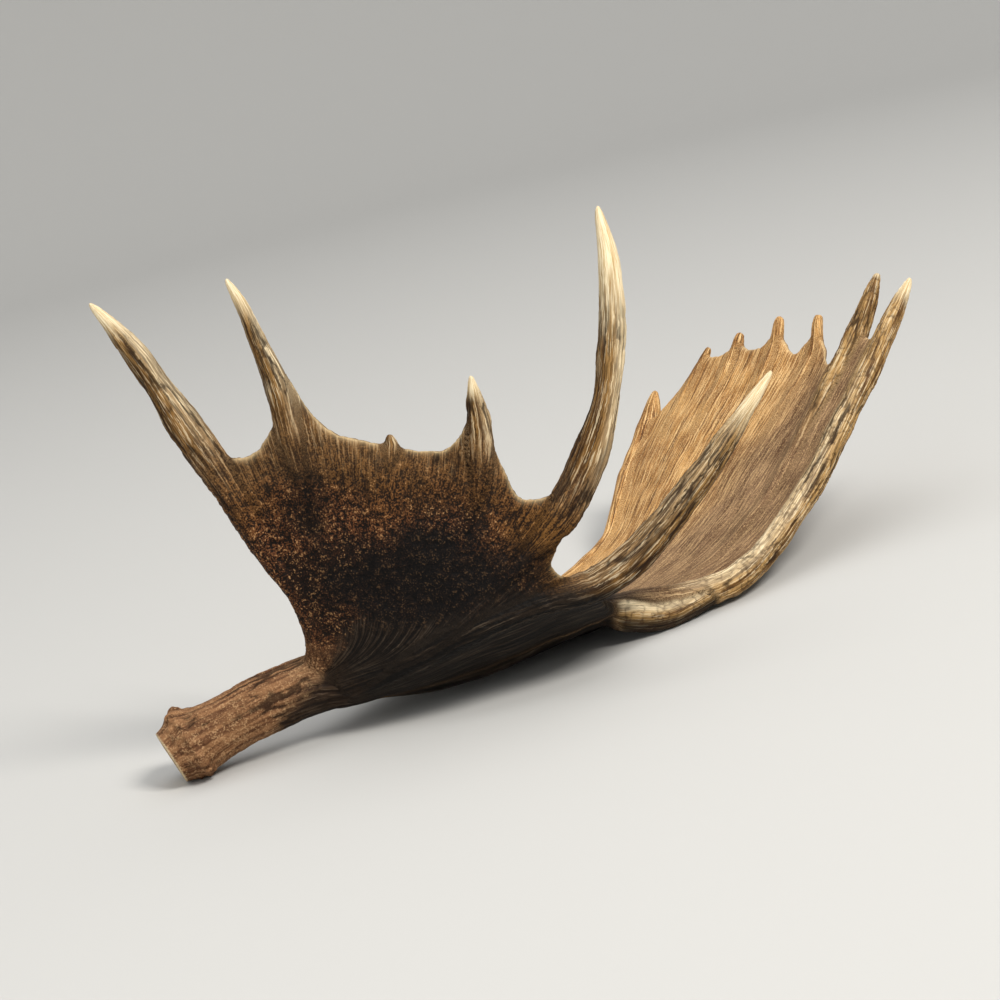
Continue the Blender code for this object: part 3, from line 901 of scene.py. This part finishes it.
def bone_finish(name):
    """The bone's finish: each look laid over the last where its mask is strong, painted highlights and
    painted shade among them.
    """
    material = bpy.data.materials.new(name)
    material.use_nodes = True
    tree = material.node_tree
    s = Shade(tree)
    shader = tree.nodes["Principled BSDF"]
    shader.inputs["Specular IOR Level"].default_value = 0.12
    grain = s.attribute("grain", "Vector")
    place = s.node("TexCoord", {}, "Object")
    brow, belly, beam, gold = (s.attribute(n) for n in ("brow", "belly", "beam", "gold"))
    ivory, rim, groove, vein = (s.attribute(n) for n in ("ivory", "rim", "groove", "vein"))
    tine, painted_highlight, back, deep = (s.attribute(n) for n in ("tine", "painted_highlight", "back", "deep"))
    olive, pits, pearl, stem = (s.attribute(n) for n in ("olive", "pits", "pearl", "stem"))
    shaded, sawn, marrow = (s.attribute(n) for n in ("shaded", "sawn", "marrow"))

    hair = grain.scaled((1 / 0.0011, 1 / 0.0011, 1 / 0.030)).noise(3.0, 0.6)
    band = grain.scaled((1 / 0.0036, 1 / 0.0036, 1 / 0.070)).noise(3.0, 0.6)
    cloud = place.scaled((24.0, 24.0, 24.0)).noise(3.0, 0.55)
    speck = place.scaled((640.0, 640.0, 640.0)).noise(1.0, 0.6)

    # Main palm: golden at its rear, greyed at its outer side, with fine pale hairlines
    greyed = s.mix(cloud.ease(0.3, 0.7), rgb(102, 76, 54), rgb(138, 108, 79))
    golden = s.mix(cloud.ease(0.3, 0.7), rgb(154, 106, 56), rgb(204, 154, 92))
    palm = s.mix(gold, greyed, golden)
    palm = s.mix(hair.ease(0.52, 0.60) * (0.35 + 0.55 * gold), palm, rgb(226, 190, 136))
    palm = s.mix(hair.ease(0.49, 0.40) * 0.75, palm, rgb(74, 48, 27))
    palm = s.mix(band.ease(0.45, 0.36) * (0.45 + 0.25 * gold), palm, rgb(84, 54, 30))
    palm = s.mix(speck.ease(0.56, 0.68) * 0.35, palm, rgb(214, 178, 128))
    palm = s.mix(speck.ease(0.44, 0.32) * 0.45, palm, rgb(70, 45, 26))

    # Tines: tan with dark streaks, dark at their stems; a painted highlight lightens their lit flanks, and
    # painted shade darkens the other flanks and deepens their streaks
    tan = s.mix(band.ease(0.38, 0.56), rgb(104, 71, 35), rgb(174, 137, 84))
    tan = s.mix(stem * 0.95, tan, s.mix(band.ease(0.38, 0.56), rgb(60, 38, 15), rgb(126, 90, 44)))
    tan = s.mix((hair.ease(0.54, 0.62) * 0.6 + painted_highlight * 0.85).clipped(), tan, rgb(230, 211, 174))
    tan = s.mix(hair.ease(0.49, 0.42) * (0.55 + 0.4 * shaded - 0.3 * painted_highlight), tan, rgb(42, 26, 12))
    tan = s.mix(shaded * 0.5, tan, rgb(62, 40, 19))
    colour = s.mix(tine, palm, tan)

    # Brow palm: fine red-brown pearls in dark gaps, olive towards its edge, almost black with painted shade
    # low in its middle
    bead = speck * 0.8 + pearl * 0.25 - 0.03
    bead = bead * (1 - 0.6 * olive) + hair * 0.6 * olive
    top = s.mix(cloud.ease(0.38, 0.62), rgb(44, 24, 13), rgb(94, 56, 31))
    top = s.mix(olive, top, rgb(112, 76, 36))
    top = s.mix(deep * 0.95, top, rgb(13, 9, 7))
    gap = s.mix(olive, rgb(17, 10, 6), rgb(34, 21, 10))
    gap = s.mix(deep * 0.95, gap, rgb(4, 3, 3))
    dark = s.mix(bead.ease(0.42, 0.56), gap, top)
    # Painted highlights: pale specks on the pearls' tops, fewer where the painted shade lies
    dark = s.mix((bead.ease(0.58, 0.70) * (1 - 0.85 * deep)) * 0.65, dark, rgb(190, 146, 98))
    furrow = s.math("ABSOLUTE", grain.scaled((1 / 0.0065, 1 / 0.0065, 1 / 0.045)).noise(2.0, 0.5) - 0.5)
    dark = s.mix(furrow.ease(0.030, 0.004) * (0.75 - 0.5 * deep), dark, rgb(22, 13, 7))
    colour = s.mix(brow, colour, dark)

    # Belly: painted shade, dark and greyed, with long pale ribbons
    ribbons = s.mix(band.ease(0.42, 0.60), rgb(10, 7, 5), rgb(34, 25, 17))
    ribbons = s.mix((band.ease(0.50, 0.60) * hair.ease(0.51, 0.58)) * 0.5, ribbons, rgb(92, 80, 67))
    colour = s.mix(belly, colour, ribbons)
    colour = s.mix(back, colour, s.mix(band.ease(0.35, 0.66), rgb(60, 41, 25), rgb(122, 92, 58)))

    # Beam: pink-brown with dark grooves
    shaft = s.mix(band.ease(0.35, 0.65), rgb(86, 55, 34), rgb(136, 98, 66))
    shaft = s.mix(bead.ease(0.50, 0.68) * 0.6, shaft, rgb(180, 144, 104))
    shaft = s.mix(bead.ease(0.42, 0.26) * 0.6, shaft, rgb(60, 36, 24))
    colour = s.mix(beam, colour, shaft)

    # Grooves are darker, edges and tips are worn pale
    colour = s.mix(groove.ease(0.30, 1.00) * 0.8, colour, rgb(30, 19, 11))
    colour = s.mix(pits * 0.7, colour, rgb(52, 34, 20))
    colour = s.mix(vein * 0.6, colour, rgb(34, 24, 17))
    colour = s.mix((rim * (0.4 + hair)).clipped() * 0.9, colour, rgb(206, 180, 136))
    pores = place.scaled((700.0, 700.0, 700.0)).cells()
    spongy = s.mix(pores.ease(0.30, 0.55), rgb(96, 66, 40), rgb(178, 146, 104))
    section = s.mix(marrow, s.mix(speck, rgb(170, 146, 108), rgb(216, 198, 164)), spongy)
    colour = s.mix(sawn, colour, section)
    tip = s.mix(hair.ease(0.35, 0.62), rgb(190, 158, 108), rgb(236, 222, 188))
    colour = s.mix((ivory * 1.2 + (hair - 0.5) * 1.4 * ivory * (1.4 - ivory)).clipped(), colour, tip)

    tree.links.new(colour.socket, shader.inputs["Base Color"])
    rough = 0.58 + 0.04 * brow + 0.08 * beam - 0.20 * ivory + 0.18 * (hair - 0.5) + 0.2 * groove
    tree.links.new(rough.socket, shader.inputs["Roughness"])
    height = (
        0.00050 * hair * (1 - 0.8 * ivory)
        + 0.00090 * bead * (brow + 0.6 * beam).clipped()
    )
    bump = s.node("Bump", {"Height": height, "Strength": 1.0, "Distance": 1.0}, "Normal")
    tree.links.new(bump.socket, shader.inputs["Normal"])
    return material


def masks(at):
    """The masks that the finishes read, each from 0 to 1."""
    rise, number, normal, points = at["rise"], at["number"], at["normal"], at["points"]
    forked = ease(*FORK_RIB, number)
    tine = np.maximum(ease(0.70, 1.15, rise), ease(0.52, 0.85, rise) * forked * at["rods"])
    inner = ease(-0.3, 0.5, at["inner"])
    outer = ease(0.0, 0.7, -at["inner"]) * (1 - 0.6 * at["rods"])
    x, z = points[:, 0] / (1 + points[:, 1] / STATION), points[:, 2] / (1 + points[:, 1] / STATION)
    drift = 0.006 * noise(points / 0.025, 42) + 0.003 * noise(points / 0.007, 43)
    line_x, line_z = np.array(BELLY_LINE).T
    # Below the belly line the brow palm's front, and the beam there, take the belly's painted shade
    fan = ease(-0.010, 0.014, np.interp(x, line_x, line_z) - z + drift)
    fan = fan * (1 - at["main"]) * ease(-0.228, -0.205, x + drift)
    lip = at["lip"] * ease(0.070, 0.086, x)
    # The patch of painted shade low on the brow palm
    (patch_x, patch_z), (wide, high) = SHADE_PATCH
    shade_patch = ((x - patch_x) / wide) ** 2 + ((z - patch_z) / high) ** 2 + 65 * drift
    # The dark stripe that runs down the brow palm from its second tine
    stripe = 0.7 * np.exp(-(((number - 1 + 8 * drift) / 0.25) ** 2))
    stripe = stripe * ease(0.2, 0.45, rise) * ease(1.05, 0.75, rise)
    # The belly mask is painted shade: the belly sheet, the main palm's outer side low down, the recess at the
    # palm's root, the brow palm's front below the belly line and the lip's downward side
    root = ease(0.44, 0.34, rise) * (1 - 0.7 * inner * (1 - at["rods"]))
    low = at["belly"] + at["main"] * np.maximum(outer * ease(0.95, 0.45, rise), root)
    low = np.maximum(np.maximum(low * (1 - lip), fan), 0.9 * lip * ease(0.2, -0.5, normal[:, 2]))
    rim_rod = at["rods"] * rim_share(number, rise) * ease(0.40, 0.52, rise)
    # The crest of the outer rim: a painted highlight on its upward side
    crest_highlight = at["main"] * at["rods"] * ease(1.2, 0.5, number) * ease(0.40, 0.46, rise) * ease(1.0, 0.6, rise)
    crest_highlight = crest_highlight * ease(0.1, 0.8, normal[:, 2])
    # The side of a tine that gets a painted highlight: the outer side of the brow tines, the upper side of
    # the fork tine; the side facing away gets painted shade
    facing = np.where(number > 4.5, normal @ np.array([-0.5, -0.3, 0.8]), normal[:, 0])
    stem = ease(1.75, 1.0, rise) * at["brow"]
    lit = tine * at["brow"] * ease(0.0, 0.6, facing) * (0.95 - 0.6 * forked) * (1 - 0.7 * stem)
    # shaded: painted shade on the flank facing away, and a darkening of the fork tine below its ivory
    # whichever way it faces
    shaded = tine * at["brow"] * np.maximum(ease(0.2, 0.9, -facing), 0.4 * forked * (1 - at["ivory"]))
    fringe = rise + 0.12 * noise(points / 0.03, 41)
    return {
        "grain": at["grain"],
        "brow": np.clip(at["brow"] * (1 - 0.9 * tine), 0, 1),
        "olive": np.maximum(ease(0.55, 1.00, fringe), ease(2.9, 3.9, number) * ease(0.35, 0.65, fringe)),
        # deep: the patch of painted shade, and the dark stripe down from the second tine
        "deep": np.maximum(ease(1.5, 0.4, shade_patch), stripe) * at["brow"],
        # belly: painted shade on the sides that face down and in the recess at the palm's root
        "belly": np.clip(low, 0, 1),
        "back": np.clip(at["main"] * outer * ease(0.45, 0.95, rise) * 0.8, 0, 1),
        "beam": at["beam"] * (1 - 0.9 * fan),
        "sawn": ease(0.0014, 0.0005, at["saw"]),
        "marrow": ease(0.020, 0.016, np.linalg.norm(points - opened(BEAM)[0], axis=1) + drift / 3),
        "gold": ease(-0.7, 0.9, number - 1.2 - 3.4 * (1 - rise) + 25 * drift) * at["main"],
        "tine": np.clip(tine * at["brow"] + at["main"] * rim_rod + lip, 0, 1),
        "stem": stem,
        "shaded": shaded,
        "ivory": at["ivory"],
        "rim": at["rim"] * inner ** 0.3 * (1 - at["belly"]),
        # painted_highlight: painted highlight on the lip's upper side, the rim crest's upper side and the lit
        # flanks of the tines
        "painted_highlight": np.clip(lip * ease(0.0, 0.6, normal[:, 2]) + 0.6 * crest_highlight + lit, 0, 1),
    }


# The slot of each larger piece; every tine and outer point has the tines' slot
SLOTS = {
    "beam": "beam_bone",
    "palm_base": "base_bone",
    "brow_palm": "brow_bone",
    "main_palm": "palm_bone",
    "main_palm_end": "palm_bone",
}


# ---------------------------------------------------------------- stage


def stage():
    """A round pale floor that curves up into a wall all round: a profile turned about the z axis, flat as far
    as FLOOR, then a quarter circle, then upright."""
    bend = np.linspace(0, np.pi / 2, 17)
    reach = np.concatenate([[0.001, 1.0, 2.0], FLOOR + SWEEP * np.sin(bend), [FLOOR + SWEEP]])
    height = np.concatenate([[0, 0, 0], SWEEP * (1 - np.cos(bend)), [WALL]])
    turn = np.linspace(0, 2 * np.pi, 96, endpoint=False)
    grid = np.stack([
        reach[:, None] * np.cos(turn), reach[:, None] * np.sin(turn), height[:, None] + 0 * turn
    ], axis=-1)
    mesh = new_mesh("floor", grid.reshape(-1, 3), ring_faces(*grid.shape[:2]).reshape(-1, 4))
    mesh.shade_smooth()
    floor = bpy.data.objects.new("floor", mesh)
    bpy.context.scene.collection.objects.link(floor)
    material = bpy.data.materials.new("pale_floor")
    material.use_nodes = True
    shader = material.node_tree.nodes["Principled BSDF"]
    shader.inputs["Base Color"].default_value = rgb(188, 187, 184)
    shader.inputs["Roughness"].default_value = 0.85
    mesh.materials.append(material)


def camera(lay):
    """The camera, at the station and level with the antler's own upright frame."""
    seen = bpy.data.objects.new("camera", bpy.data.cameras.new("camera"))
    bpy.context.scene.collection.objects.link(seen)
    seen.data.sensor_width = SENSOR
    seen.data.lens = SENSOR * STATION / FRAMED
    seen.data.shift_x = -ASIDE / FRAMED
    seen.matrix_world = lay @ Matrix.Translation((0, -STATION, 0)) @ Matrix.Rotation(math.pi / 2, 4, "X")
    bpy.context.scene.camera = seen


def light():
    """A soft key from the upper right, a wide softbox overhead and a weak fill, in a dim pale room. The key
    spreads less than a bare lamp, so that the floor below it stays no brighter than the rest."""
    key = lamp("key", (2.6, -3.0, 4.0), 1.7, 126, (1.0, 0.97, 0.92))
    key.spread = math.radians(120)
    lamp("overhead", (0.0, 0.5, 4.6), 5.0, 88, (1.0, 1.0, 1.0))
    lamp("fill", (-1.8, -2.2, 1.0), 1.6, 14, (0.96, 0.98, 1.0))
    world = bpy.data.worlds.new("world")
    bpy.context.scene.world = world
    world.use_nodes = True
    background = world.node_tree.nodes["Background"]
    background.inputs["Color"].default_value = (0.90, 0.91, 0.92, 1)
    background.inputs["Strength"].default_value = 0.7


def lamp(name, place, size, power, colour):
    """A soft square lamp that looks at the middle of the antler."""
    softbox = bpy.data.lights.new(name, "AREA")
    softbox.size = size
    softbox.energy = power
    softbox.color = colour
    lamp_object = bpy.data.objects.new(name, softbox)
    bpy.context.scene.collection.objects.link(lamp_object)
    lamp_object.location = place
    middle = Vector((0, 0, 0.15))
    lamp_object.rotation_euler = (middle - Vector(place)).to_track_quat("-Z", "Y").to_euler()
    return softbox


# ---------------------------------------------------------------- the antler


def laid(points):
    """The turn and the drop that lay the bone on its belly, its lowest spots a SOLE below z = 0."""
    turn = Matrix.Rotation(LIE_PITCH, 4, "X") @ Matrix.Rotation(LIE_ROLL, 4, "Y")
    turned = points @ np.array(turn)[:3, :3].T
    low, high = turned.min(axis=0), turned.max(axis=0)
    middle = (low + high) / 2
    return Matrix.Translation((-middle[0], -middle[1], -low[2] - SOLE)) @ turn


def antler():
    """Grows, marks, cuts and lays down the bone, and makes a piece for each node. Two pieces stand for the
    main palm, its root and its end. Returns the matrix that lays the bone down."""
    brow = {name: opened(points) for name, points in BROW_RIBS.items()}
    main = {name: opened(points) for name, points in MAIN_RIBS.items()}
    skin = grown_together(sources(brow, main))
    skin.points = skin.spread(skin.points, SMOOTHINGS)
    skin.fill_hollows(FILLINGS)
    skin.points = skin.spread(skin.points, SMOOTHINGS)
    lay = laid(skin.points)
    at = surroundings(skin, brow, main)
    height, marks = relief(skin, at)
    skin.points = skin.points + skin.normals() * height[:, None]
    fields = masks(at) | marks
    made = cuts(brow | main)
    label = labels(skin, made)
    straightened(skin, label, made)
    matrix = np.array(lay)
    skin.points = skin.points @ matrix[:3, :3].T + matrix[:3, 3]
    skin.points[:, 2] = np.maximum(skin.points[:, 2], 0)
    normals = skin.normals()
    for number, name in enumerate(["palm_base", *made]):
        slot = SLOTS.get(name, "tine_bone")
        chosen = np.flatnonzero(label == number)
        mesh = piece_mesh(name + "_bone", skin, chosen, fields, normals)
        mesh.materials.append(finishes[slot])
        piece = bpy.data.objects.new(name + "_bone", mesh)
        bpy.context.scene.collection.objects.link(piece)
        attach(piece, "root")
        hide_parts(name.removesuffix("_end"))
    return lay


finishes = {slot: bone_finish(slot) for slot in (*sorted(set(SLOTS.values())), "tine_bone")}
camera(antler())
stage()
light()
bpy.context.scene.view_settings.view_transform = "Standard"
